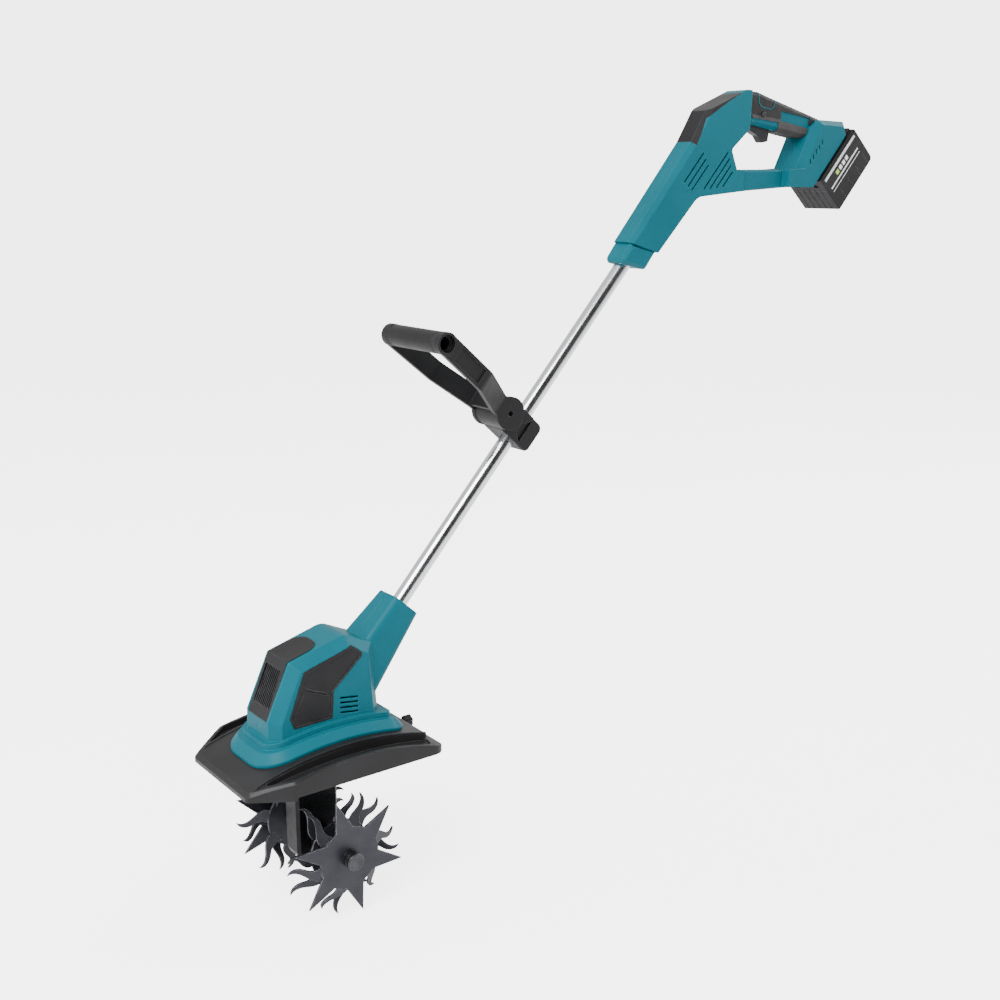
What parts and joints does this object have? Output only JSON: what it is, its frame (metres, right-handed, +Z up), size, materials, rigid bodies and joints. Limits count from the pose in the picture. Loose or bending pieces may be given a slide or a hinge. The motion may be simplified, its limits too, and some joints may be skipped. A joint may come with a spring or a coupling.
{
  "type": "mini cultivator",
  "caption": "Battery mini cultivator: star tine discs on a worm-driven axle under an arched guard, bare tube, folding D-handle on a sliding clamp, rear grip with trigger and slide-on battery.",
  "frame": {"origin": "on the ground, in the middle of the object's length and width", "axes": "+X forwards, along the longest horizontal extent; +Y to the machine's left, across it; +Z up"},
  "size_m": [1.2042, 0.224, 1.1015],
  "materials": {
    "teal_plastic": "satin",
    "black_plastic": "fine grain",
    "grip_rubber": "matt",
    "tube_metal": "bright",
    "tine_steel": "dark coat with bare edges",
    "shaft_steel": "turned",
    "fastener_steel": "zinc",
    "gearcase_alloy": "dark cast",
    "bronze": "sintered",
    "copper_wire": "wire sleeve",
    "contact_metal": "bright",
    "pack_plastic": "fine grain",
    "pack_plate": "satin",
    "button_plastic": "fine grain",
    "magnet": "dull",
    "cell_sleeve": "sleeve",
    "seal_rubber": "matt"
  },
  "bodies": {
    "frame": {"main_tube": "tube_metal", "handle_shell_left": "teal_plastic", "handle_shell_right": "teal_plastic", "handle_front_cap": "black_plastic", "grip_overmould": "black_plastic", "grip_pad": "grip_rubber", "handle_screws": "fastener_steel", "trigger_pin": "fastener_steel", "switch_body": "black_plastic", "terminal_block": "black_plastic", "terminal_blades": "contact_metal", "wiring_cable": "copper_wire", "tube_screws": "fastener_steel", "motor_shell_left": "teal_plastic", "motor_shell_right": "teal_plastic", "vent_grille": "black_plastic", "side_panel_left": "black_plastic", "side_panel_right": "black_plastic", "housing_screws": "fastener_steel", "motor_can": "shaft_steel", "motor_magnets": "magnet", "shaft_bearings": "shaft_steel", "gearcase_left": "gearcase_alloy", "gearcase_right": "gearcase_alloy", "gearcase_screws": "fastener_steel", "axle_bushings": "bronze", "axle_seals": "seal_rubber", "guard": "black_plastic", "guard_screws": "fastener_steel", "guard_knob": "black_plastic"},
    "tine_axle": {"tine_axle": "shaft_steel", "worm_wheel": "bronze", "drive_key": "shaft_steel", "hub_left": "shaft_steel", "hub_right": "shaft_steel", "star_disc_left_outer": "tine_steel", "star_disc_left_inner": "tine_steel", "star_disc_right_inner": "tine_steel", "star_disc_right_outer": "tine_steel", "axle_pins": "fastener_steel"},
    "rotor": {"worm_shaft": "shaft_steel", "rotor_core": "magnet"},
    "clamp": {"clamp_body": "black_plastic", "clamp_cap": "black_plastic", "clamp_screws": "fastener_steel", "hinge_bolt": "fastener_steel", "hinge_nut": "fastener_steel"},
    "aux_handle": {"aux_handle_frame": "black_plastic", "aux_handle_grip": "black_plastic"},
    "trigger": {"trigger": "button_plastic"},
    "lock_button": {"lock_button": "button_plastic"},
    "battery": {"battery_case_upper": "pack_plastic", "battery_case_lower": "pack_plastic", "battery_cells": "cell_sleeve", "battery_label_plates": "pack_plate"},
    "battery_button": {"battery_button": "button_plastic"}
  },
  "joints": [
    {"name": "axle_spin", "type": "hinge", "parent": "frame", "child": "tine_axle", "pos_m": [0.4611, 0, 0.08605], "axis": [0, 1, 0], "continuous": true},
    {"name": "rotor_spin", "type": "hinge", "parent": "frame", "child": "rotor", "pos_m": [0.4861, 0, 0.28605], "axis": [0, 0, 1], "continuous": true},
    {"name": "clamp_slide", "type": "slide", "parent": "frame", "child": "clamp", "axis": [-0.6691, 0, 0.7431], "range_m": [-0.25, 0.25]},
    {"name": "handle_tilt", "type": "hinge", "parent": "clamp", "child": "aux_handle", "pos_m": [0.148, 0, 0.64641], "axis": [0, 1, 0], "range_deg": [-60, 50]},
    {"name": "trigger_pull", "type": "hinge", "parent": "frame", "child": "trigger", "pos_m": [-0.3359, 0, 1.05655], "axis": [0, 1, 0], "range_deg": [0, 10], "stiffness_Nm_per_rad": 0.6, "springref_deg": -5.73},
    {"name": "lock_press", "type": "slide", "parent": "frame", "child": "lock_button", "axis": [0, -1, 0], "range_m": [0, 0.003], "stiffness_N_per_m": 300, "springref_m": -0.003},
    {"name": "battery_slide", "type": "slide", "parent": "frame", "child": "battery", "axis": [-0.6691, 0, 0.7431], "range_m": [0, 0.1]},
    {"name": "battery_button_press", "type": "slide", "parent": "battery", "child": "battery_button", "axis": [-0.7431, 0, -0.6691], "range_m": [0, 0.002], "stiffness_N_per_m": 500, "springref_m": -0.002}
  ],
  "couplings": [
    {"joint": "rotor_spin", "follows": "axle_spin", "ratio": 30}
  ]
}
